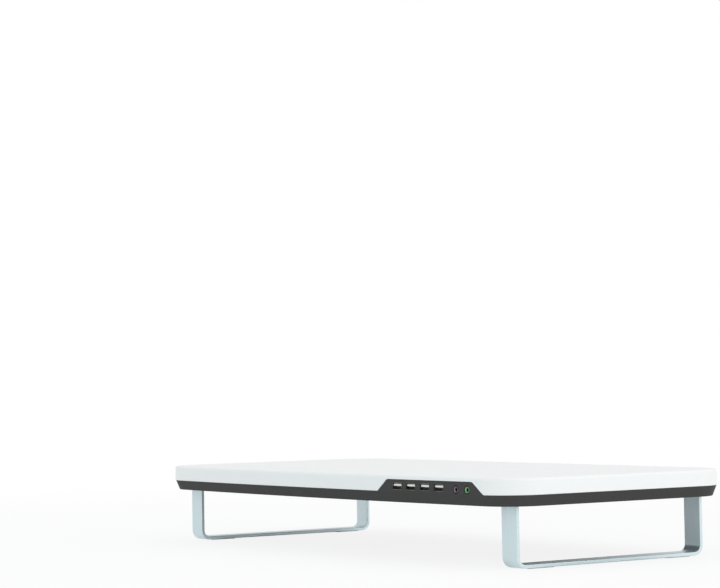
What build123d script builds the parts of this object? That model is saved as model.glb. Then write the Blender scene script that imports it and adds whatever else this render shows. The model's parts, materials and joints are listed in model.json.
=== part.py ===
from build123d import *
import os
from math import hypot, sqrt

# A riser stand for a monitor: a white deck cover over a dark tray, carried on two bent
# flat-bar legs, with a hub of USB-A sockets and two audio sockets let into the front edge.
# +X runs along the front edge to the right, +Y from the front to the back, +Z up.
# The origin is on the table, under the middle of the body. All sizes are in millimetres.

# ---- body: overall sizes
length = 545.0
depth = 250.0
front_bow = 9.0            # how far the middle of the front stands ahead of its ends
corner_radius = 36.0
clear_height = 50.0        # table to the underside of the tray
band_height = 9.0          # the dark band that shows under the white cover
cover_height = 13.5
band_taper = 3.6           # how far the band leans inwards towards the bottom
band_step = 0.5            # the cover stands this far proud of the band
cover_wall = 2.6
deck_thickness = 2.6
cover_edge_radius = 2.0
cover_rim_radius = 0.4
tray_wall = 2.0            # at the foot of the leaning side
tray_floor = 2.5
tray_edge_radius = 0.8
lip_height = 3.0
lip_clearance = 0.3

# ---- socket panels: trapezoids of the tray that rise into the cover
panel_height = 10.0
panel_slope_run = 13.2
panel_top_radius = 5.5
panel_base_radius = 1.5
panel_gap = 0.2
panel_from_end = 98.5      # middle of both panels to the right end of the body
front_panel_width = 137.0
rear_panel_width = 78.0
panel_reach = 20.0         # how far a panel cut reaches into the body

# ---- legs
bar_width = 19.0
bar_thickness = 3.0
bend_radius = 9.0          # outside of the bends
bar_edge = 0.5
leg_from_end = 17.5
leg_from_front = 30.0      # outer faces of the posts, from the front and the back of the body
leg_from_back = 22.0
post_below_deck = 2.4
slot_clearance = 0.3
pad_thickness = 0.5
pad_length = 26.0
pad_margin = 1.5
pad_from_bend = 4.0

# ---- leg brackets and the block of the tray that each is screwed to
bracket_thickness = 2.5
bracket_foot = 24.0
bracket_bend = 4.0
block_height = 4.0
bracket_screw_first = 9.0
bracket_screw_pitch = 9.0
leg_screw_pitch = 9.0
leg_screw_rise = 6.5       # above the foot of the bracket

# ---- screws: diameter, length under the head, head diameter, head height
leg_screw = (4.0, 9.0, 7.2, 2.4)
bracket_screw = (3.0, 7.5, 5.4, 1.9)
cover_screw = (3.0, 12.0, 5.6, 2.0)
board_screw = (2.5, 6.0, 4.5, 1.7)
thread_clearance = 0.05
hole_clearance = 0.25
recess_width = 0.9
recess_reach = 0.55        # length of each arm of the cross, as a share of the head

# ---- bosses and ribs
root = 1.0                 # ribs, blocks and bosses start this far down inside the floor
boss_above_split = 2.5     # where the bosses of the tray and of the cover meet
counterbore_depth = 4.5
counterbore_clearance = 0.5
boss_wall = 1.7
cover_boss_diameter = 8.0
pilot_extra = 1.0          # a pilot hole runs this far past its screw
boss_from_leg = 45.5       # outer columns of bosses, from the middle of a leg
boss_inner = 70.0          # inner columns, from the middle of the body
boss_from_cable = 53.0     # the bosses of the middle row, from the cable
boss_from_board = 9.0
rib_thickness = 1.6
rib_margin = 1.5           # ribs stop this far short of their neighbours
cover_rib_depth = 5.0
tray_rib_height = 4.5
rib_pitch = 65.0

# ---- circuit boards
board_thickness = 1.6
board_above_split = 1.1
board_gap = 0.8
hub_board_left = 62.0      # from the middle of the panel
hub_board_right = 60.5
hub_board_depth = 36.0
rear_board_half = 27.0
rear_board_depth = 23.0
board_boss_diameter = 6.5
board_screw_inset = 3.5    # from the edges of a board
board_boss_front = 9.0     # from the bowed front edge of the hub board
tail_clearance = 0.12
tail_below_board = 0.8

# ---- USB-A sockets
usb_count = 4
usb_first = -41.8          # from the middle of the panel
usb_pitch = 18.3
usb_rise = 3.5             # centre above the board
usb_inside = (12.5, 5.12)
usb_metal = 0.3
usb_depth = 13.5
usb_flare = (0.25, 0.6)    # how far the mouth opens out above and below, and over what depth
usb_gap = 0.25
tongue_width = 11.1
tongue_thickness = 1.84
tongue_setback = 0.9
tongue_tip = 0.4           # the bevel along its front edges
core_depth = 4.5
core_gap = 0.05
contact_width = 1.0
contact_thickness = 0.25
contact_setback = 0.9      # from the tip of the tongue
contact_places = (-3.5, -1.0, 1.0, 3.5)
tail_gap = 0.2             # between the insulator and the tails of the contacts
shell_leg_places = (7.8, 11.8)
shell_leg_width = 1.6

# ---- audio sockets
jack_places = (34.7, 48.6)  # from the middle of the panel: microphone, headphone
jack_rise = 2.5
jack_bore = 3.6
jack_nose = 5.8
jack_ring = 5.0            # the coloured ring on the end of the nose
jack_ring_depth = 1.3
jack_ring_gap = 0.03       # the ring's bore is this much wider than the body's, on each side
jack_funnel = (4.6, 0.8)   # how wide the mouth of the ring opens, and how deep
jack_hole_gap = 0.6
jack_nose_depth = 6.0
jack_body = (7.0, 15.0, 5.0)
jack_body_edge = 0.4
jack_bore_depth = 14.0
jack_tail_width = 2.4
jack_tail_places = (8.4, 12.4)

# ---- rear sockets
inlet_place = -15.0        # from the middle of the panel
inlet_inside = (6.9, 3.1)
inlet_metal = 0.4
inlet_depth = 9.0
inlet_lead_in = 0.5
inlet_rise = 2.1
inlet_tongue = (4.9, 1.1)
inlet_tongue_setback = 0.8
inlet_core_depth = 3.0
rear_jack_places = (3.0, 17.0)

# ---- what sits on the boards
cable_place = 9.0          # from the middle of the panel
cable_width = 10.0
cable_thickness = 0.9
cable_bend = 3.0
connector = (13.0, 5.0, 5.5)
connector_wall = 1.0
connector_from_edge = 3.5
guide_wall = 1.2
guide_gap = 0.2
guide_height = 2.5
guide_length = 8.0
guide_count = 3
guide_margin = 22.0        # from the ends of the cable's run along the floor
cable_drop = 4.0           # lengths of its level and sloping stretches beside a board
hub_chip = (7.0, 7.0, 1.4)
chip_place = (-22.0, 11.0) # from the middle of the panel, and from the back edge of the board
chip_lead = (0.22, 1.0, 0.15)
chip_leads_per_side = 10
chip_lead_pitch = 0.55
capacitor = (5.0, 5.4)
capacitor_edge = 0.4
capacitor_place = 6.0      # behind the back of a USB-A socket
crystal = (11.0, 4.6, 3.4)
crystal_place = -6.0       # from the middle of the panel
crystal_flat = 0.2         # what is left straight at each rounded end
small_part = (2.0, 1.25, 0.6)
small_part_count = 8
small_part_first = -48.0   # from the middle of the panel
small_part_pitch = 5.5
small_part_inset = 4.0     # from the back edge of the board
bead_place = 5.0           # behind the back of an audio socket

# ---- cuts run this far past the faces that they open
overrun = 1.0

# ---- levels and places that follow from the sizes above
split = clear_height + band_height
height = split + cover_height
floor_top = clear_height + tray_floor
ceiling = height - deck_thickness
panel_top = split + panel_height
boss_meets_cover = split + boss_above_split
board_top = split + board_above_split
cavity_inset = band_step + band_taper + tray_wall
bow_radius = ((length / 2) ** 2 + front_bow ** 2) / (2 * front_bow)
bow_centre = bow_radius - depth / 2
panel_x = length / 2 - panel_from_end
leg_x = length / 2 - leg_from_end - bar_width / 2
leg_front = -depth / 2 + leg_from_front
leg_back = depth / 2 - leg_from_back
post_top = ceiling - post_below_deck
bracket_foot_low = floor_top + block_height
leg_screw_z = bracket_foot_low + leg_screw_rise
board_bottom = board_top - board_thickness
usb_z = board_top + usb_rise
jack_z = board_top + jack_rise
usb_outside = (usb_inside[0] + 2 * usb_metal, usb_inside[1] + 2 * usb_metal)
usb_mouth = (usb_outside[0], usb_outside[1] + 2 * usb_flare[0])
inlet_outside = (inlet_inside[0] + 2 * inlet_metal, inlet_inside[1] + 2 * inlet_metal)
usb_places = [panel_x + usb_first + usb_pitch * i for i in range(usb_count)]
jack_xs = [panel_x + place for place in jack_places]
rear_jack_xs = [panel_x + place for place in rear_jack_places]
inlet_x = panel_x + inlet_place
cable_x = panel_x + cable_place
rear_face = depth / 2 - band_step
hub_board_back = board_gap + cavity_inset - depth / 2 + front_bow / 2 + hub_board_depth
rear_board_edge = depth / 2 - cavity_inset - board_gap
boss_rows = (hub_board_back + boss_from_board, rear_board_edge - rear_board_depth - boss_from_board)
boss_columns = (boss_from_leg - leg_x, -boss_inner, boss_inner, leg_x - boss_from_leg)
middle_row = sum(boss_rows) / 2
middle_bosses = (boss_from_cable - cable_x, 0.0, cable_x - boss_from_cable)
bosses = [(x, y) for x in boss_columns for y in boss_rows] + [(x, middle_row) for x in middle_bosses]
connector_front = hub_board_back - connector_from_edge
connector_rear = rear_board_edge - rear_board_depth + connector_from_edge
cable_start = connector_front + connector[1] / 2 + 2 * cable_drop
cable_end = connector_rear - connector[1] / 2 - 2 * cable_drop


# ---- helpers
def outline(inset):
    """The plan of the body, with every side moved in by inset."""
    half = length / 2 - inset
    back = depth / 2 - inset
    radius = bow_radius - inset
    corner = bow_centre - sqrt(radius ** 2 - half ** 2)
    sides = Polyline((half, corner), (half, back), (-half, back), (-half, corner))
    bow = ThreePointArc((-half, corner), (0, bow_centre - radius), (half, corner))
    face = make_face([*sides.edges(), bow])
    return fillet(face.vertices(), corner_radius - inset)


def slab(inset, low, high):
    """The body's plan as a block between two levels."""
    return extrude(Pos(0, 0, low) * outline(inset), high - low)


def front_y(x, inset):
    """Where the bowed front lies at x."""
    return bow_centre - sqrt((bow_radius - inset) ** 2 - x ** 2)


def block(x, y, z):
    """A box from its low and high limits along each axis."""
    middle = Pos((x[0] + x[1]) / 2, (y[0] + y[1]) / 2, (z[0] + z[1]) / 2)
    return middle * Box(x[1] - x[0], y[1] - y[0], z[1] - z[0])


def post(x, y, low, high, diameter):
    """An upright cylinder between two levels."""
    return Pos(x, y, (low + high) / 2) * Cylinder(diameter / 2, high - low)


def rod(x, z, start, end, diameter):
    """A cylinder along Y between two places."""
    return Pos(x, (start + end) / 2, z) * Rot(90, 0, 0) * Cylinder(diameter / 2, end - start)


def upright(y):
    """A plane facing the front at y, with its own x along X and its own y along Z."""
    return Plane(origin=(0, y, 0), x_dir=(1, 0, 0), z_dir=(0, -1, 0))


def group(pieces):
    """Separate pieces that share a node."""
    return Compound(children=[Solid(piece.solid().wrapped) for piece in pieces])


def export(name, shape):
    shape.label = name
    export_step(shape, f"parts/{name}.step")


def screw(size):
    """A pan-head screw, head up, with the underside of the head at the origin."""
    diameter, under_head, head, head_height = size
    shank = Pos(0, 0, -under_head / 2) * Cylinder(diameter / 2, under_head)
    shank = chamfer(shank.faces().sort_by(Axis.Z)[0].edges(), diameter / 6)
    top = Pos(0, 0, head_height / 2) * Cylinder(head / 2, head_height)
    top = fillet(top.faces().sort_by(Axis.Z)[-1].edges(), head_height / 3)
    arm = Pos(0, 0, head_height) * Box(head * recess_reach, recess_width, head_height)
    return shank + top - arm - Rot(0, 0, 90) * arm


# ---- the two shells
def panel_prism(width, gap, near, far):
    """The trapezoid of a socket panel, grown by gap, as a block from near to far along Y."""
    slant = hypot(panel_slope_run, panel_height) / panel_height
    base = width / 2 + gap * slant
    top = width / 2 - panel_slope_run + gap * (slant - panel_slope_run / panel_height)
    side = base + panel_slope_run
    high = panel_top + gap
    points = [(-side, clear_height), (side, clear_height), (side, split), (base, split)]
    points += [(top, high), (-top, high), (-base, split), (-side, split)]
    face = make_face(Polyline(*points, close=True))
    corners = face.vertices()
    face = fillet([v for v in corners if v.Y > high - 0.01], panel_top_radius + gap)
    bases = [v for v in face.vertices() if abs(abs(v.X) - base) < 0.01 and abs(v.Y - split) < 0.01]
    face = fillet(bases, panel_base_radius)
    return Pos(panel_x, 0, 0) * extrude(upright(far) * face, far - near)


front_span = (-depth / 2 - overrun, -depth / 2 + panel_reach)
rear_span = (depth / 2 - panel_reach, depth / 2 + overrun)


def cover_ribs():
    """A grid of ribs under the deck, clear of the boards and of the leg brackets."""
    low = ceiling - cover_rib_depth
    left = -leg_x + bar_width / 2 + rib_margin
    right = leg_x - bar_width / 2 - rib_margin
    front = hub_board_back + rib_margin
    back = rear_board_edge - rear_board_depth - rib_margin
    across = int((right - left) / rib_pitch)
    along = int((back - front) / rib_pitch)
    half = rib_thickness / 2
    for i in range(across + 1):
        x = left + (right - left) * i / across
        yield block((x - half, x + half), (front - half, back + half), (low, ceiling))
    for i in range(along + 1):
        y = front + (back - front) * i / along
        yield block((left, right), (y - half, y + half), (low, ceiling))


def make_cover():
    """The white shell: a deck with a skirt, ribs and screw bosses."""
    shell = slab(0, split, height)
    shell = fillet(shell.faces().sort_by(Axis.Z)[-1].edges(), cover_edge_radius)
    shell = fillet(shell.faces().sort_by(Axis.Z)[0].edges(), cover_rim_radius)
    shell -= slab(cover_wall, split, ceiling)
    shell -= panel_prism(front_panel_width, panel_gap, *front_span)
    shell -= panel_prism(rear_panel_width, panel_gap, *rear_span)
    columns = [post(x, y, boss_meets_cover, ceiling, cover_boss_diameter) for x, y in bosses]
    shell = shell.fuse(*cover_ribs(), *columns)
    seat = clear_height + counterbore_depth
    pilot = cover_screw[0] + 2 * thread_clearance
    top = seat + cover_screw[1] + pilot_extra
    return shell.cut(*[post(x, y, boss_meets_cover, top, pilot) for x, y in bosses])


def board_bosses():
    """Middles of the screws that hold the boards: hub board first, then the rear board."""
    back = hub_board_back - board_screw_inset
    left = panel_x - hub_board_left + board_screw_inset
    right = panel_x + hub_board_right - board_screw_inset
    front = front_y(right, cavity_inset + board_gap) + board_boss_front
    inner = rear_board_edge - rear_board_depth + board_screw_inset
    side = rear_board_half - board_screw_inset
    hub = [(left, back), (right, back), (left, front), (right, front)]
    return hub + [(panel_x - side, inner), (panel_x + side, inner)]


def leg_places():
    """Each leg post as its side, the outer face of the post and which way is inwards."""
    for side_name, side in (("left", -1), ("right", 1)):
        for end_name, outer, inwards in (("front", leg_front, 1), ("back", leg_back, -1)):
            yield f"{side_name}_{end_name}", side * leg_x, outer, inwards


def bracket_screw_ys(outer, inwards):
    first = outer + inwards * (bar_thickness + bracket_screw_first)
    return [first, first + inwards * bracket_screw_pitch]


def tray_ribs():
    """Ribs on the floor of the tray, left of the cable and clear of the brackets."""
    left = -leg_x + bar_width / 2 + rib_margin
    right = cable_x - cable_width / 2 - guide_wall - rib_margin
    front = leg_front + bar_thickness + bracket_foot
    back = leg_back - bar_thickness - bracket_foot
    right = min(right, panel_x - hub_board_left - rib_margin)
    count = int((right - left) / rib_pitch)
    half = rib_thickness / 2
    high = floor_top + tray_rib_height
    for i in range(count + 1):
        x = left + (right - left) * i / count
        yield block((x - half, x + half), (front, back), (clear_height + root, high))
    for y in (front, back):
        yield block((left - half, right + half), (y - half, y + half), (clear_height + root, high))


def guide_places():
    """Middles of the pairs of low walls that keep the cable in place on the floor."""
    start = cable_start + guide_margin
    end = cable_end - guide_margin
    return [start + (end - start) * i / (guide_count - 1) for i in range(guide_count)]


def make_tray():
    """The dark lower shell, with the socket panels, the leg slots and all that is screwed in."""
    bottom = Pos(0, 0, clear_height) * outline(band_step + band_taper)
    rim = Pos(0, 0, split) * outline(band_step)
    shell = loft([bottom, rim], ruled=True)
    shell = fillet(shell.faces().sort_by(Axis.Z)[0].edges(), tray_edge_radius)
    lip_top = split + lip_height
    shell += slab(cover_wall + lip_clearance, split, lip_top)
    wall = slab(band_step, split, panel_top + overrun)
    wall -= slab(cover_wall + lip_clearance, split, panel_top + overrun)
    shell += wall & panel_prism(front_panel_width, 0, *front_span)
    shell += wall & panel_prism(rear_panel_width, 0, *rear_span)
    shell -= slab(cavity_inset, floor_top, lip_top + overrun)
    added = list(tray_ribs())
    cuts = []
    seat = clear_height + counterbore_depth
    bore = cover_screw[2] + 2 * counterbore_clearance
    for x, y in bosses:
        added.append(post(x, y, clear_height + root, boss_meets_cover, bore + 2 * boss_wall))
        cuts.append(post(x, y, clear_height - overrun, seat, bore))
        cuts.append(post(x, y, seat, boss_meets_cover, cover_screw[0] + 2 * hole_clearance))
    pilot = board_screw[0] + 2 * thread_clearance
    for x, y in board_bosses():
        added.append(post(x, y, clear_height + root, board_bottom, board_boss_diameter))
        low = board_top - board_screw[1] - pilot_extra
        cuts.append(post(x, y, low, board_bottom, pilot))
    pilot = bracket_screw[0] + 2 * thread_clearance
    for name, x, outer, inwards in leg_places():
        inner = outer + inwards * bar_thickness
        far = inner + inwards * bracket_foot
        ys = sorted((inner + inwards * slot_clearance, far))
        sides = (x - bar_width / 2, x + bar_width / 2)
        added.append(block(sides, ys, (clear_height + root, bracket_foot_low)))
        low = bracket_foot_low + bracket_thickness - bracket_screw[1] - pilot_extra / 2
        for y in bracket_screw_ys(outer, inwards):
            cuts.append(post(x, y, low, bracket_foot_low, pilot))
        slot_x = (sides[0] - slot_clearance, sides[1] + slot_clearance)
        slot_y = sorted((outer - inwards * slot_clearance, inner + inwards * slot_clearance))
        cuts.append(block(slot_x, slot_y, (clear_height - overrun, bracket_foot_low + overrun)))
    for y in guide_places():
        for side in (-1, 1):
            inner = cable_x + side * (cable_width / 2 + guide_gap)
            xs = sorted((inner, inner + side * guide_wall))
            ys = (y - guide_length / 2, y + guide_length / 2)
            added.append(block(xs, ys, (clear_height + root, floor_top + guide_height)))
    for x in usb_places:
        y = front_y(x, band_step)
        mouth = (usb_mouth[0] / 2 + usb_gap, usb_mouth[1] / 2 + usb_gap)
        xs = (x - mouth[0], x + mouth[0])
        ys = (y - overrun, y + cavity_inset + overrun)
        cuts.append(block(xs, ys, (usb_z - mouth[1], usb_z + mouth[1])))
    hole = jack_nose + 2 * jack_hole_gap
    through = cavity_inset + overrun
    for x in jack_xs:
        y = front_y(x, band_step)
        cuts.append(rod(x, jack_z, y - overrun, y + through, hole))
    for x in rear_jack_xs:
        cuts.append(rod(x, jack_z, rear_face - through, rear_face + overrun, hole))
    half = (inlet_outside[0] / 2 + usb_gap, inlet_outside[1] / 2 + usb_gap)
    z = board_top + inlet_rise
    ys = (rear_face - through, rear_face + overrun)
    cuts.append(block((inlet_x - half[0], inlet_x + half[0]), ys, (z - half[1], z + half[1])))
    return shell.fuse(*added).cut(*cuts)


# ---- legs
def make_leg(side):
    """A flat bar bent into a U: two posts and the bar along the table."""
    top = post_top
    outer = [(leg_front, top), (leg_front, pad_thickness), (leg_back, pad_thickness), (leg_back, top)]
    low = pad_thickness + bar_thickness
    inner = [(leg_back - bar_thickness, top), (leg_back - bar_thickness, low)]
    inner += [(leg_front + bar_thickness, low), (leg_front + bar_thickness, top)]
    face = make_face(Polyline(*outer, *inner, close=True))
    bend = [v for v in face.vertices() if abs(v.Y - pad_thickness) < 0.01]
    face = fillet(bend, bend_radius)
    bend = [v for v in face.vertices() if abs(v.Y - low) < 0.01]
    face = fillet([v for v in bend if leg_front + 1 < v.X < leg_back - 1], bend_radius - bar_thickness)
    plane = Plane(origin=(side * leg_x - bar_width / 2, 0, 0), x_dir=(0, 1, 0), z_dir=(1, 0, 0))
    leg = extrude(plane * face, bar_width)
    sides = leg.faces().sort_by(Axis.X)
    leg = fillet([*sides[0].edges(), *sides[-1].edges()], bar_edge)
    hole = leg_screw[0] + 2 * hole_clearance
    holes = []
    for face_y in (leg_front, leg_back):
        for place in (-1, 1):
            x = side * leg_x + place * leg_screw_pitch / 2
            holes.append(rod(x, leg_screw_z, face_y - 2 * bar_thickness, face_y + 2 * bar_thickness, hole))
    return leg.cut(*holes)


def make_bracket(x, outer, inwards):
    """A steel angle: one leaf against the inner face of the post, one on the tray's block."""
    inner = outer + inwards * bar_thickness
    low = bracket_foot_low
    high = post_top
    leaf = inner + inwards * bracket_thickness
    far = inner + inwards * bracket_foot
    foot_top = low + bracket_thickness
    points = [(inner, high), (inner, low), (far, low), (far, foot_top), (leaf, foot_top), (leaf, high)]
    face = make_face(Polyline(*points, close=True))
    outside = [v for v in face.vertices() if abs(v.X - inner) + abs(v.Y - low) < 0.01]
    face = fillet(outside, bracket_bend)
    inside = [v for v in face.vertices() if abs(v.X - leaf) + abs(v.Y - foot_top) < 0.01]
    face = fillet(inside, bracket_bend - bracket_thickness)
    plane = Plane(origin=(x - bar_width / 2, 0, 0), x_dir=(0, 1, 0), z_dir=(1, 0, 0))
    angle = extrude(plane * face, bar_width)
    tapped = leg_screw[0] + 2 * thread_clearance
    hole = bracket_screw[0] + 2 * hole_clearance
    cuts = []
    for place in (-1, 1):
        spread = x + place * leg_screw_pitch / 2
        cuts.append(rod(spread, leg_screw_z, min(inner, leaf) - overrun, max(inner, leaf) + overrun, tapped))
    for y in bracket_screw_ys(outer, inwards):
        cuts.append(post(x, y, low - overrun, foot_top + overrun, hole))
    return angle.cut(*cuts)


def foot_pads():
    """Thin pads under each end of the bar that lies on the table."""
    face = RectangleRounded(bar_width - 2 * pad_margin, pad_length, pad_margin)
    offset = bend_radius + pad_from_bend + pad_length / 2
    for side in (-1, 1):
        for y in (leg_front + offset, leg_back - offset):
            yield extrude(Pos(side * leg_x, y, 0) * face, pad_thickness)


# ---- sockets: each is made with its mouth at y = 0, facing the front, its depth along +Y
def tube(mouth, inside, wall, flare, start, end):
    """A rectangular metal tube whose mouth opens out over the first stretch."""
    radius = wall
    outside = (inside[0] + 2 * wall, inside[1] + 2 * wall)
    opening = (mouth[0] - 2 * wall, mouth[1] - 2 * wall)
    skin = loft([upright(start) * RectangleRounded(*mouth, radius),
                 upright(start + flare) * RectangleRounded(*outside, radius)], ruled=True)
    skin += extrude(upright(end) * RectangleRounded(*outside, radius), end - start - flare)
    hollow = loft([upright(start) * RectangleRounded(*opening, radius / 2),
                   upright(start + flare) * RectangleRounded(*inside, radius / 2)], ruled=True)
    hollow += extrude(upright(end) * RectangleRounded(*inside, radius / 2), end - start - flare)
    return skin - hollow


def shell_leg_boxes(grow):
    """The solder legs of a USB-A shell, grown on every side for the holes in the board."""
    x = usb_outside[0] / 2 - usb_metal / 2
    low = -usb_rise - board_thickness - tail_below_board
    half = (usb_metal / 2 + grow, shell_leg_width / 2 + grow)
    for side in (-1, 1):
        for y in shell_leg_places:
            middle = side * x
            yield block((middle - half[0], middle + half[0]), (y - half[1], y + half[1]), (low, 0))


def usb_shell():
    """The folded metal shell of a USB-A socket."""
    shell = tube(usb_mouth, usb_inside, usb_metal, usb_flare[1], 0, usb_depth)
    return shell.fuse(*shell_leg_boxes(0))


def contact_boxes(grow):
    """Strip and tail of each contact, grown on every side for what they pass through."""
    low = -usb_rise - board_thickness - tail_below_board
    half = contact_width / 2 + grow
    tail = (usb_depth + tail_gap - grow, usb_depth + tail_gap + contact_thickness + grow)
    for x in contact_places:
        ys = (tongue_setback + contact_setback, tail[1])
        strip = block((x - half, x + half), ys, (-contact_thickness - grow, grow))
        yield strip, block((x - half, x + half), tail, (low, grow))


def usb_contacts():
    for strip, tail in contact_boxes(0):
        yield strip + tail


def usb_core():
    """The insulator: a tongue and the block that holds it at the back of the shell."""
    half = (usb_inside[0] / 2 - core_gap, usb_inside[1] / 2 - core_gap)
    start = usb_depth - core_depth
    core = block((-half[0], half[0]), (start, usb_depth), (-half[1], half[1]))
    tongue = block((-tongue_width / 2, tongue_width / 2), (tongue_setback, start), (0, tongue_thickness))
    nose = tongue.faces().sort_by(Axis.Y)[0].edges().filter_by(Axis.X)
    tongue = chamfer(nose, tongue_tip)
    slots = [strip for strip, tail in contact_boxes(core_gap)]
    slots = [slot & block((-half[0], half[0]), (start, usb_depth + overrun), (-half[1], 0)) for slot in slots]
    return (core + tongue).cut(*slots)


def jack_housing():
    """The moulded body and nose of an audio socket, with its bore."""
    width, deep, high = jack_body
    body = block((-width / 2, width / 2), (jack_nose_depth, deep), (-high / 2, high / 2))
    body = fillet(body.edges().filter_by(Axis.Y), jack_body_edge)
    body += rod(0, 0, jack_ring_depth, jack_nose_depth, jack_nose)
    return body - rod(0, 0, jack_ring_depth, jack_bore_depth, jack_bore)


def jack_collar():
    """The coloured ring on the end of the nose. Its mouth is a funnel that leads the plug in."""
    inside = jack_bore + 2 * jack_ring_gap
    mouth, deep = jack_funnel
    funnel = Pos(0, deep / 2, 0) * Rot(90, 0, 0) * Cone(inside / 2, mouth / 2, deep)
    return rod(0, 0, 0, jack_ring_depth, jack_ring) - rod(0, 0, 0, jack_ring_depth, inside) - funnel


def jack_tails(grow):
    """The solder tails on the sides and the back of an audio socket."""
    width, deep, high = jack_body
    low = -jack_rise - board_thickness - tail_below_board
    top = high / 4
    half = jack_tail_width / 2 + grow
    for side in (-1, 1):
        for y in jack_tail_places:
            near = side * (width / 2)
            xs = sorted((near - side * grow, near + side * (contact_thickness + grow)))
            yield block(xs, (y - half, y + half), (low, top))
    yield block((-half, half), (deep - grow, deep + contact_thickness + grow), (low, top))


def inlet_shell():
    """The metal shell of the rear USB inlet."""
    return tube(inlet_outside, inlet_inside, inlet_metal, inlet_lead_in, 0, inlet_depth)


def inlet_core():
    """Tongue and rear block of the rear USB inlet."""
    half = (inlet_inside[0] / 2 - core_gap, inlet_inside[1] / 2 - core_gap)
    start = inlet_depth - inlet_core_depth
    core = block((-half[0], half[0]), (start, inlet_depth), (-half[1], half[1]))
    wide, thick = inlet_tongue
    return core + block((-wide / 2, wide / 2), (inlet_tongue_setback, start), (-thick / 2, thick / 2))


def at_front(x, z, shape):
    """Places a socket in the front panel, its mouth level with the panel's face."""
    return Pos(x, front_y(x, band_step), z) * shape


def at_rear(x, z, shape):
    """Places a socket in the rear panel, facing the back."""
    return Pos(x, rear_face, z) * Rot(0, 0, 180) * shape


# ---- boards and what they carry
def board_screw_holes(first, last):
    hole = board_screw[0] + 2 * hole_clearance
    low = board_bottom - overrun
    high = board_top + overrun
    return [post(x, y, low, high, hole) for x, y in board_bosses()[first:last]]


def make_hub_board():
    """The board behind the front panel. Its front edge follows the bow."""
    xs = (panel_x - hub_board_left, panel_x + hub_board_right)
    ys = (-depth / 2, hub_board_back)
    board = slab(cavity_inset + board_gap, board_bottom, board_top)
    board = board & block(xs, ys, (board_bottom, board_top))
    cuts = board_screw_holes(0, 4)
    for x in usb_places:
        cuts += [at_front(x, usb_z, leg) for leg in shell_leg_boxes(tail_clearance)]
        cuts += [at_front(x, usb_z, tail) for strip, tail in contact_boxes(tail_clearance)]
    for x in jack_xs:
        cuts += [at_front(x, jack_z, tail) for tail in jack_tails(tail_clearance)]
    return board.cut(*cuts)


def make_rear_board():
    """The small board behind the rear panel."""
    xs = (panel_x - rear_board_half, panel_x + rear_board_half)
    ys = (rear_board_edge - rear_board_depth, rear_board_edge)
    board = block(xs, ys, (board_bottom, board_top))
    cuts = board_screw_holes(4, 6)
    for x in rear_jack_xs:
        cuts += [at_rear(x, jack_z, tail) for tail in jack_tails(tail_clearance)]
    return board.cut(*cuts)


def make_connector(x, y, outwards):
    """A wire-to-board housing, open on the side that the cable comes from."""
    wide, deep, high = connector
    box = block((x - wide / 2, x + wide / 2), (y - deep / 2, y + deep / 2), (board_top, board_top + high))
    half = wide / 2 - connector_wall
    mouth = y + outwards * deep / 2
    ys = sorted((mouth - outwards * (deep - connector_wall), mouth + outwards * overrun))
    low = board_top + connector_wall
    return box - block((x - half, x + half), ys, (low, board_top + high - connector_wall))


def make_cable():
    """The flat cable between the boards: out of one connector, along the floor, into the other."""
    reach = connector[1] / 2 - connector_wall - thread_clearance
    high = board_top + connector[2] / 2
    low = floor_top + cable_thickness / 2
    points = [(connector_front - reach, high), (cable_start - cable_drop, high), (cable_start, low)]
    points += [(cable_end, low), (cable_end + cable_drop, high), (connector_rear + reach, high)]
    points = [(cable_x, y, z) for y, z in points]
    path = FilletPolyline(*points, radius=cable_bend)
    section = Plane(origin=points[0], x_dir=(1, 0, 0), z_dir=(0, 1, 0))
    return sweep(section * Rectangle(cable_width, cable_thickness), path=path)


def chip_middle():
    return (panel_x + chip_place[0], hub_board_back - chip_place[1])


def chip_leads():
    """Leads on the four sides of the hub chip."""
    x, y = chip_middle()
    wide, long_, thick = chip_lead
    for quarter in range(4):
        for i in range(chip_leads_per_side):
            slide = (i - (chip_leads_per_side - 1) / 2) * chip_lead_pitch
            lead = Pos(slide, hub_chip[1] / 2 + long_ / 2, thick / 2) * Box(wide, long_, thick)
            yield Pos(x, y, board_top) * Rot(0, 0, 90 * quarter) * lead


def capacitors():
    """One reservoir capacitor behind each USB-A socket."""
    diameter, high = capacitor
    for x in usb_places:
        y = front_y(x, band_step) + usb_depth + capacitor_place
        can = post(x, y, board_top, board_top + high, diameter)
        yield fillet(can.faces().sort_by(Axis.Z)[-1].edges(), capacitor_edge)


def small_parts():
    """Resistors and filter beads in rows behind the sockets."""
    wide, deep, high = small_part
    back = hub_board_back - small_part_inset
    for i in range(small_part_count):
        x = panel_x + small_part_first + small_part_pitch * i
        if abs(x - chip_middle()[0]) > hub_chip[0]:
            yield block((x - wide / 2, x + wide / 2), (back - deep, back), (board_top, board_top + high))
    for x in jack_xs:
        y = front_y(x, band_step) + jack_body[1] + bead_place
        yield block((x - wide / 2, x + wide / 2), (y, y + deep), (board_top, board_top + high))


# ---- write one file for each node
os.makedirs("parts", exist_ok=True)

export("top_cover", make_cover())
export("bottom_tray", make_tray())
export("left_leg", make_leg(-1))
export("right_leg", make_leg(1))
export("foot_pads", group(foot_pads()))

leg_screws = []
bracket_screws = []
for name, x, outer, inwards in leg_places():
    export(f"leg_bracket_{name}", make_bracket(x, outer, inwards))
    for place in (-1, 1):
        spread = x + place * leg_screw_pitch / 2
        turned = Rot(90 * inwards, 0, 0) * screw(leg_screw)
        leg_screws.append(Pos(spread, outer, leg_screw_z) * turned)
    for y in bracket_screw_ys(outer, inwards):
        bracket_screws.append(Pos(x, y, bracket_foot_low + bracket_thickness) * screw(bracket_screw))
export("leg_screws", group(leg_screws))
export("bracket_screws", group(bracket_screws))

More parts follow.
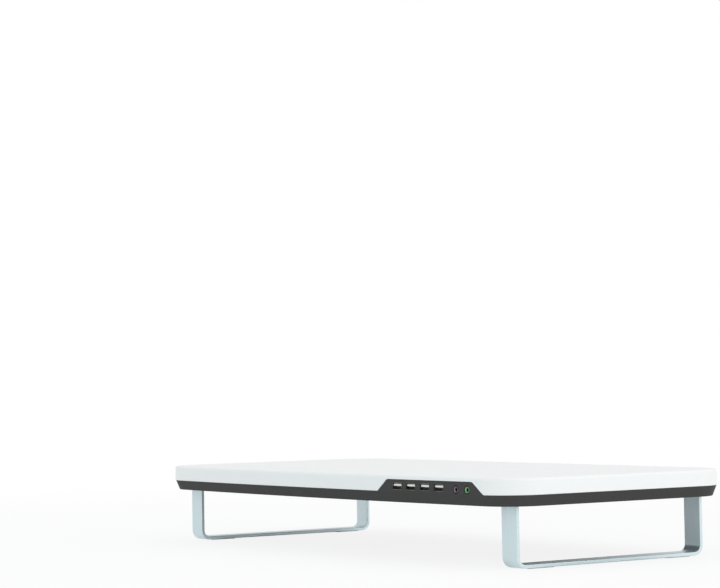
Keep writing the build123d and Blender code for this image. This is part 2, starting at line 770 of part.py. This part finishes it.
cover_seat = clear_height + counterbore_depth
upward = Rot(180, 0, 0) * screw(cover_screw)
export("cover_screws", group(Pos(x, y, cover_seat) * upward for x, y in bosses))
export("board_screws", group(Pos(x, y, board_top) * screw(board_screw) for x, y in board_bosses()))

export("hub_board", make_hub_board())
export("rear_board", make_rear_board())

for number, x in enumerate(usb_places, start=1):
    export(f"usb_port_{number}_shell", at_front(x, usb_z, usb_shell()))
    export(f"usb_port_{number}_tongue", at_front(x, usb_z, usb_core()))
    export(f"usb_port_{number}_contacts", group(at_front(x, usb_z, one) for one in usb_contacts()))

for name, x in zip(("mic_jack", "headphone_jack"), jack_xs):
    export(f"{name}_body", at_front(x, jack_z, jack_housing()))
    export(f"{name}_ring", at_front(x, jack_z, jack_collar()))
    export(f"{name}_contacts", group(at_front(x, jack_z, tail) for tail in jack_tails(0)))

for name, x in zip(("rear_mic_jack", "rear_headphone_jack"), rear_jack_xs):
    export(f"{name}_body", at_rear(x, jack_z, jack_housing()))
    export(f"{name}_ring", at_rear(x, jack_z, jack_collar()))
    export(f"{name}_contacts", group(at_rear(x, jack_z, tail) for tail in jack_tails(0)))

inlet_z = board_top + inlet_rise
export("rear_usb_inlet_shell", at_rear(inlet_x, inlet_z, inlet_shell()))
export("rear_usb_inlet_tongue", at_rear(inlet_x, inlet_z, inlet_core()))

export("cable_connector_front", make_connector(cable_x, connector_front, 1))
export("cable_connector_rear", make_connector(cable_x, connector_rear, -1))
export("flat_cable", make_cable())

chip_x, chip_y = chip_middle()
export("hub_chip", Pos(chip_x, chip_y, board_top + hub_chip[2] / 2) * Box(*hub_chip))
export("hub_chip_leads", group(chip_leads()))
export("hub_capacitors", group(capacitors()))
crystal_can = Pos(panel_x + crystal_place, chip_y, board_top + crystal[2] / 2) * Box(*crystal)
export("hub_crystal", fillet(crystal_can.edges().filter_by(Axis.Z), (crystal[1] - crystal_flat) / 2))
export("hub_small_parts", group(small_parts()))
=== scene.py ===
import json
from math import cos, pi, sin

import bpy
from mathutils import Matrix, Vector


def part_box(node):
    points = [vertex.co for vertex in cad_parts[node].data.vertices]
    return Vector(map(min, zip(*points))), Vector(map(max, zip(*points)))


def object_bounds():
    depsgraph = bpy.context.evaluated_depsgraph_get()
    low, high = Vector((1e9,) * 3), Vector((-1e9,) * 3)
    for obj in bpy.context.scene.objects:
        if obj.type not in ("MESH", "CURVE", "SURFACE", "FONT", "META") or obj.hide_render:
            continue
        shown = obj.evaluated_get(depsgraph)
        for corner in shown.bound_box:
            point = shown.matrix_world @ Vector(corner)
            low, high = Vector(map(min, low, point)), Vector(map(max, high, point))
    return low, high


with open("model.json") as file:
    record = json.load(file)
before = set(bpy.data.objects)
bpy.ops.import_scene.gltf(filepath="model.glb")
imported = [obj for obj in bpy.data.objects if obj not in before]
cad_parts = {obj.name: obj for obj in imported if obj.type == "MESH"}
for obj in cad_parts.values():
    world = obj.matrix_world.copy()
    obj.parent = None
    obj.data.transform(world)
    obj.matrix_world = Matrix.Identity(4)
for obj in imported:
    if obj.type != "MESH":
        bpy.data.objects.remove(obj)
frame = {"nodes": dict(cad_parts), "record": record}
cad_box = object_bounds()


# ---------------------------------------------------------------- camera
# A long lens from the right of the front edge, a little above the deck and tipped slightly up.
# Places are in metres, angles in radians, and the lens and its sensor in millimetres.
CAMERA_PLACE = (1.58836, -1.1515, 0.14187)
CAMERA_YAW = 0.97111
CAMERA_PITCH = 0.04533
CAMERA_ROLL = -0.01736
CAMERA_LENS = 107.67
CAMERA_SENSOR = 36.0
CAMERA_REACH = 100.0


def make_camera():
    flat = cos(CAMERA_PITCH)
    forward = Vector((-sin(CAMERA_YAW) * flat, cos(CAMERA_YAW) * flat, sin(CAMERA_PITCH)))
    level = Vector((cos(CAMERA_YAW), sin(CAMERA_YAW), 0))
    raised = level.cross(forward)
    right = cos(CAMERA_ROLL) * level + sin(CAMERA_ROLL) * raised
    up = cos(CAMERA_ROLL) * raised - sin(CAMERA_ROLL) * level
    data = bpy.data.cameras.new("camera")
    data.lens = CAMERA_LENS
    data.sensor_width = CAMERA_SENSOR
    data.clip_end = CAMERA_REACH
    camera = bpy.data.objects.new("camera", data)
    turned = Matrix((right, up, -forward)).transposed().to_4x4()
    camera.matrix_world = Matrix.Translation(CAMERA_PLACE) @ turned
    bpy.context.scene.collection.objects.link(camera)
    bpy.context.scene.camera = camera


# ---------------------------------------------------------------- node helpers
NO_STRETCH = (1, 1, 1)
MIX_SOCKETS = (0, 6, 7)    # a Mix node's factor and its two colours
MIX_RESULT = 2             # a Mix node's colour result


class Graph:
    """A node tree, with short names for what the materials and the world here use."""

    def __init__(self, owner, output="ShaderNodeOutputMaterial"):
        owner.use_nodes = True
        self.owner = owner
        self.tree = owner.node_tree
        self.tree.nodes.clear()
        self.output = self.add(output)

    def add(self, kind, **inputs):
        """A node of this kind, with its inputs set by their names in small letters."""
        node = self.tree.nodes.new(kind)
        for name, value in inputs.items():
            self.set(node, name.replace("_", " "), value)
        return node

    def set(self, node, name, value):
        socket = next(s for s in node.inputs if s.name.lower() == name.lower() and s.enabled)
        self.feed(socket, value)

    def feed(self, socket, value):
        """Links the input to another node's output, or sets it to a plain value."""
        if isinstance(value, bpy.types.NodeSocket):
            self.tree.links.new(value, socket)
        elif socket.type == "RGBA" and len(value) == 3:
            socket.default_value = (*value, 1)
        else:
            socket.default_value = value

    def show(self, shader):
        self.tree.links.new(shader.outputs[0], self.output.inputs["Surface"])

    def coordinate(self, name):
        return self.add("ShaderNodeTexCoord").outputs[name]

    def place(self, stretch=NO_STRETCH):
        """The point on the object, in metres, with each axis multiplied by its stretch."""
        return self.add("ShaderNodeMapping", vector=self.coordinate("Object"), scale=stretch).outputs[0]

    def reach(self, stretch=NO_STRETCH):
        """The distance from the origin, with each axis multiplied by its stretch."""
        node = self.add("ShaderNodeVectorMath", vector=self.place(stretch))
        node.operation = "LENGTH"
        return node.outputs["Value"]

    def along_x(self, vector):
        return self.add("ShaderNodeSeparateXYZ", vector=vector).outputs[0]

    def facing_sideways(self):
        """1 on faces that look along X, 0 on those square to it."""
        return self.maths("ABSOLUTE", self.along_x(self.coordinate("Normal")))

    def noise(self, scale, detail=2.0, stretch=NO_STRETCH):
        vector = self.place(stretch)
        return self.add("ShaderNodeTexNoise", vector=vector, scale=scale, detail=detail).outputs["Fac"]

    def maths(self, operation, first, second=0.0):
        node = self.tree.nodes.new("ShaderNodeMath")
        node.operation = operation
        self.feed(node.inputs[0], first)
        self.feed(node.inputs[1], second)
        return node.outputs[0]

    def remap(self, value, low, high, start=0.0, end=1.0):
        """Carries start..end over to low..high, and goes no further at either end."""
        node = self.add("ShaderNodeMapRange", value=value, to_min=low, to_max=high)
        self.set(node, "from min", start)
        self.set(node, "from max", end)
        return node.outputs[0]

    def blend(self, factor, first, second):
        node = self.tree.nodes.new("ShaderNodeMix")
        node.data_type = "RGBA"
        for place, value in zip(MIX_SOCKETS, (factor, first, second)):
            self.feed(node.inputs[place], value)
        return node.outputs[MIX_RESULT]

    def bump(self, height, strength, distance, under=None):
        """A bump of this height map, laid over another bump where one is given."""
        node = self.add("ShaderNodeBump", height=height, strength=strength, distance=distance)
        if under is not None:
            self.feed(node.inputs["Normal"], under)
        return node.outputs[0]

    def background_rays(self):
        """Two shares: 1 for rays straight from the camera or through glass, and 1 for rays off gloss."""
        path = self.add("ShaderNodeLightPath")
        seen = self.maths("MAXIMUM", path.outputs["Is Camera Ray"], path.outputs["Is Transmission Ray"])
        return seen, path.outputs["Is Glossy Ray"]


# ---------------------------------------------------------------- materials
# A noise is given by its scale, in cycles over a metre, and its detail. Depths are in metres.
MATERIALS = {}                   # the finished materials by slot
NOISE_MIDDLE = (0.3, 0.7)        # most values of a noise lie between these


def new_graph(name):
    return Graph(bpy.data.materials.new(name))


def keep(name, graph, **inputs):
    """Shows the usual surface shader with these inputs, and keeps the material for its slot."""
    graph.show(graph.add("ShaderNodeBsdfPrincipled", **inputs))
    MATERIALS[name] = graph.owner


def darker(colour, share):
    return tuple(part * share for part in colour)


PLASTIC_DRIFT = (9.0, 3.0)
PLASTIC_PATCHES = (60.0, 4.0)
PLASTIC_WAVES = (14.0, 1.0)
PLASTIC_WAVE_STRENGTH = 0.15
PLASTIC_WAVE_DEPTH = 0.0002
PLASTIC_GRAIN_STRENGTH = 0.35
PLASTIC_ROUGHNESS_SPREAD = 0.04


def plastic(name, colour, shade, roughness, grain, depth, gloss=0.5):
    """Moulded plastic: a fine moulded grain, uneven gloss, a slight drift of colour and the
    long soft waves that a cooling skin has."""
    g = new_graph(name)
    base = g.blend(g.noise(*PLASTIC_DRIFT), colour, darker(colour, shade))
    low, high = roughness - PLASTIC_ROUGHNESS_SPREAD, roughness + PLASTIC_ROUGHNESS_SPREAD
    rough = g.remap(g.noise(*PLASTIC_PATCHES), low, high, *NOISE_MIDDLE)
    waves = g.bump(g.noise(*PLASTIC_WAVES), PLASTIC_WAVE_STRENGTH, PLASTIC_WAVE_DEPTH)
    skin = g.bump(g.noise(grain), PLASTIC_GRAIN_STRENGTH, depth, waves)
    keep(name, g, base_color=base, roughness=rough, normal=skin, specular_ior_level=gloss)


METAL_CLOUDS = (25.0, 3.0)
METAL_GRAIN_DETAIL = 3.0
METAL_GRAIN_STRENGTH = 0.3
METAL_ROUGHNESS_SPREAD = 0.06
ALONG_BAR = (1.0, 0.02, 0.02)    # stretches the grain to lines that run round a leg, along its flat bar


def metal(name, colour, shade, roughness, scale, depth, stretch=None, mirror=1.0):
    """Bare, plated or anodised metal with a fine grain. A stretch turns the grain to fine lines,
    save on the cut edges, which face along X.
    A mirror share under 1 is for an anodised skin, which also scatters some of the light."""
    g = new_graph(name)
    grain = g.noise(scale, METAL_GRAIN_DETAIL)
    if stretch:
        lines = g.noise(scale, METAL_GRAIN_DETAIL, stretch)
        grain = g.remap(g.facing_sideways(), lines, grain)
    dull = g.blend(g.noise(*METAL_CLOUDS), darker(colour, shade), darker(colour, shade * shade))
    base = g.blend(grain, colour, dull)
    low, high = roughness - METAL_ROUGHNESS_SPREAD, roughness + METAL_ROUGHNESS_SPREAD
    rough = g.remap(grain, low, high, *NOISE_MIDDLE)
    skin = g.bump(grain, METAL_GRAIN_STRENGTH, depth)
    keep(name, g, base_color=base, roughness=rough, metallic=mirror, normal=skin)


BOARD_CELLS = 260.0              # cells of the track pattern over a metre
BOARD_RINGS = 16.0               # how tightly the tracks ring each cell
BOARD_TRACK_EDGE = (0.25, 0.45)   # between these the mask rises to the top of a track
BOARD_TRACK_STRENGTH = 0.6
BOARD_TRACK_HEIGHT = 0.00004
BOARD_PATCHES = 80.0
BOARD_ROUGHNESS = (0.26, 0.38)


def circuit_board(name, mask, track):
    """Green solder mask over copper tracks, which run in straight lines and stand a little proud."""
    g = new_graph(name)
    cells = g.add("ShaderNodeTexVoronoi", vector=g.place(), scale=BOARD_CELLS)
    cells.distance = "MANHATTAN"
    cells.feature = "F1"
    rings = g.maths("SINE", g.maths("MULTIPLY", cells.outputs["Distance"], BOARD_RINGS))
    copper = g.remap(rings, 0.0, 1.0, *BOARD_TRACK_EDGE)
    base = g.blend(copper, mask, track)
    skin = g.bump(copper, BOARD_TRACK_STRENGTH, BOARD_TRACK_HEIGHT)
    rough = g.remap(g.noise(BOARD_PATCHES), *BOARD_ROUGHNESS)
    keep(name, g, base_color=base, roughness=rough, normal=skin)


CABLE_WIRES = 10
CABLE_PAINTED_SHADE_RISE = (0.1, 0.6)        # between these shares of a ridge's height the painted shade of the groove ends
# how dark the painted shade in the grooves between the wires is
CABLE_GROOVE_PAINTED_SHADE = 0.45
CABLE_PATCHES = 90.0
CABLE_ROUGHNESS = (0.42, 0.55)


def ribbon(name, colour, wires, width):
    """A flat cable: insulated wires side by side across its width, each a round ridge, with painted
    shade in the grooves between them.
    """
    g = new_graph(name)
    across = g.along_x(g.coordinate("Generated"))
    ridge = g.maths("ABSOLUTE", g.maths("SINE", g.maths("MULTIPLY", across, wires * pi)))
    # painted shade: the colour darkens in the grooves between the wires
    base = g.blend(g.remap(ridge, 0.0, 1.0, *CABLE_PAINTED_SHADE_RISE), darker(colour, CABLE_GROOVE_PAINTED_SHADE), colour)
    skin = g.bump(ridge, 1.0, width / wires / 2)
    rough = g.remap(g.noise(CABLE_PATCHES), *CABLE_ROUGHNESS)
    keep(name, g, base_color=base, roughness=rough, normal=skin)


def make_materials():
    """One material for each slot. After the name and colour come the shade of its darker parts,
    the roughness, the grain's scale over a metre and the grain's depth in metres."""
    plastic("white_plastic", (0.812, 0.825, 0.823), 0.985, 0.34, 2600.0, 0.00002)
    plastic("dark_plastic", (0.063, 0.061, 0.0605), 0.92, 0.50, 2200.0, 0.00006, gloss=0.03)
    metal("leg_aluminium", (0.62, 0.735, 0.765), 0.96, 0.38, 2400.0, 0.00002, ALONG_BAR, mirror=0.75)
    plastic("pad_rubber", (0.42, 0.44, 0.45), 0.92, 0.55, 1500.0, 0.00004)
    metal("zinc_steel", (0.62, 0.61, 0.58), 0.85, 0.40, 900.0, 0.00002)
    metal("black_screw", (0.05, 0.05, 0.052), 0.80, 0.38, 1400.0, 0.00002)
    circuit_board("board_green", (0.012, 0.11, 0.045), (0.03, 0.22, 0.09))
    metal("socket_shell", (0.22, 0.215, 0.21), 0.90, 0.34, 1600.0, 0.00001)
    plastic("socket_tongue", (0.80, 0.80, 0.78), 0.96, 0.40, 2600.0, 0.00002)
    metal("contact_gold", (0.60, 0.42, 0.16), 0.90, 0.26, 1500.0, 0.00001)
    metal("contact_tin", (0.70, 0.70, 0.69), 0.90, 0.30, 1500.0, 0.00001)
    plastic("socket_black", (0.020, 0.020, 0.021), 0.85, 0.42, 2400.0, 0.00003)
    plastic("ring_pink", (0.28, 0.18, 0.22), 0.85, 0.28, 2400.0, 0.00001)
    plastic("ring_green", (0.24, 0.47, 0.22), 0.85, 0.28, 2400.0, 0.00001)
    plastic("connector_ivory", (0.74, 0.68, 0.54), 0.94, 0.42, 2000.0, 0.00002)
    cable_low, cable_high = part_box("flat_cable")
    ribbon("cable_grey", (0.40, 0.40, 0.41), CABLE_WIRES, cable_high.x - cable_low.x)
    metal("can_aluminium", (0.74, 0.74, 0.74), 0.92, 0.28, 1300.0, 0.00001)


def dress_nodes():
    """Gives every CAD node the material of its slot in the record."""
    for row in frame["record"]["subparts"]:
        node = frame["nodes"][row["node"]]
        node.data.materials.clear()
        node.data.materials.append(MATERIALS[row["material_slot"]])


# ---------------------------------------------------------------- floor, backdrop and light
WHITE = (1, 1, 1)
FLOOR_REACH = 12.0
FLOOR_DROP = 0.0001          # how far the floor lies below the pads, so that the two don't coincide
FLOOR_PAINT = ((0.84, 0.85, 0.85), (0.82, 0.83, 0.83))
FLOOR_PATCHES = 40.0
SEEN_SHADOW = 0.14           # share of the floor's own shade that shows near the stand
SEEN_FADE = (0.5, 1.5)       # distances from the origin between which the floor turns plain white
GLOSS_FADE = (1.0, 1.2)      # the same in reflections, in half lengths and half depths of the stand
WORLD_COLOUR = (0.98, 1.0, 1.005)
WORLD_LIGHT = 0.80
LAMP_AIM = (0, 0, 0.05)
# Soft boxes: name, place, width, height, power in watts, colour, and whether gloss shows them
LAMPS = (
    ("overhead", (0.2, 0.2, 2.2), 2.4, 1.8, 2.0, (1.0, 1.0, 1.0), False),
    ("right_side", (2.6, 0.8, 1.2), 3.8, 2.2, 29.0, (1.0, 0.96, 0.955), False),
    ("front", (0.4, -2.3, 0.75), 2.8, 1.3, 11.0, (0.82, 1.0, 1.03), False),
    ("edge_glow", (1.75, 1.2, 0.32), 1.3, 0.45, 2.2, (1.0, 0.97, 0.96), True),
)


def make_floor():
    """A pale floor that keeps the stand's shadow and turns plain white further off."""
    mesh = bpy.data.meshes.new("floor")
    r = FLOOR_REACH
    corners = [(-r, -r, -FLOOR_DROP), (r, -r, -FLOOR_DROP), (r, r, -FLOOR_DROP), (-r, r, -FLOOR_DROP)]
    mesh.from_pydata(corners, [], [(0, 1, 2, 3)])
    floor = bpy.data.objects.new("floor", mesh)
    bpy.context.scene.collection.objects.link(floor)
    g = new_graph("floor")
    lit = g.add("ShaderNodeBsdfDiffuse", color=g.blend(g.noise(FLOOR_PATCHES), *FLOOR_PAINT))
    glow = g.add("ShaderNodeEmission", color=WHITE, strength=1.0)
    seen, glossy = g.background_rays()
    seen_share = g.maths("MULTIPLY", seen, g.remap(g.reach(), 1 - SEEN_SHADOW, 1.0, *SEEN_FADE))
    footprint = (1 / cad_box[1].x, 1 / cad_box[1].y, 1.0)
    gloss_share = g.maths("MULTIPLY", glossy, g.remap(g.reach(footprint), 0.0, 1.0, *GLOSS_FADE))
    mixed = g.add("ShaderNodeMixShader")
    white_share = g.maths("MAXIMUM", seen_share, gloss_share)
    for socket, value in zip(mixed.inputs, (white_share, lit.outputs[0], glow.outputs[0])):
        g.feed(socket, value)
    g.show(mixed)
    mesh.materials.append(g.owner)


def make_world():
    """Plain white where it is seen, straight or off gloss, and a softer pale light for all else."""
    world = bpy.data.worlds.new("studio")
    bpy.context.scene.world = world
    g = Graph(world, "ShaderNodeOutputWorld")
    white_share = g.maths("MAXIMUM", *g.background_rays())
    colour = g.blend(white_share, WORLD_COLOUR, WHITE)
    g.show(g.add("ShaderNodeBackground", color=colour, strength=g.remap(white_share, WORLD_LIGHT, 1.0)))


def make_lamps():
    """Soft boxes. Only the small one shows in gloss, so that the deck isn't clipped at a slant."""
    for name, place, wide, high, power, colour, glossy in LAMPS:
        data = bpy.data.lights.new(name, "AREA")
        data.shape = "RECTANGLE"
        data.size = wide
        data.size_y = high
        data.energy = power
        data.color = colour
        lamp = bpy.data.objects.new(name, data)
        aim = Vector(LAMP_AIM) - Vector(place)
        lamp.matrix_world = Matrix.Translation(place) @ aim.to_track_quat("-Z", "Y").to_matrix().to_4x4()
        lamp.visible_glossy = glossy
        bpy.context.scene.collection.objects.link(lamp)


make_camera()
make_materials()
dress_nodes()
make_floor()
make_world()
make_lamps()

bpy.context.scene.view_settings.view_transform = "Standard"
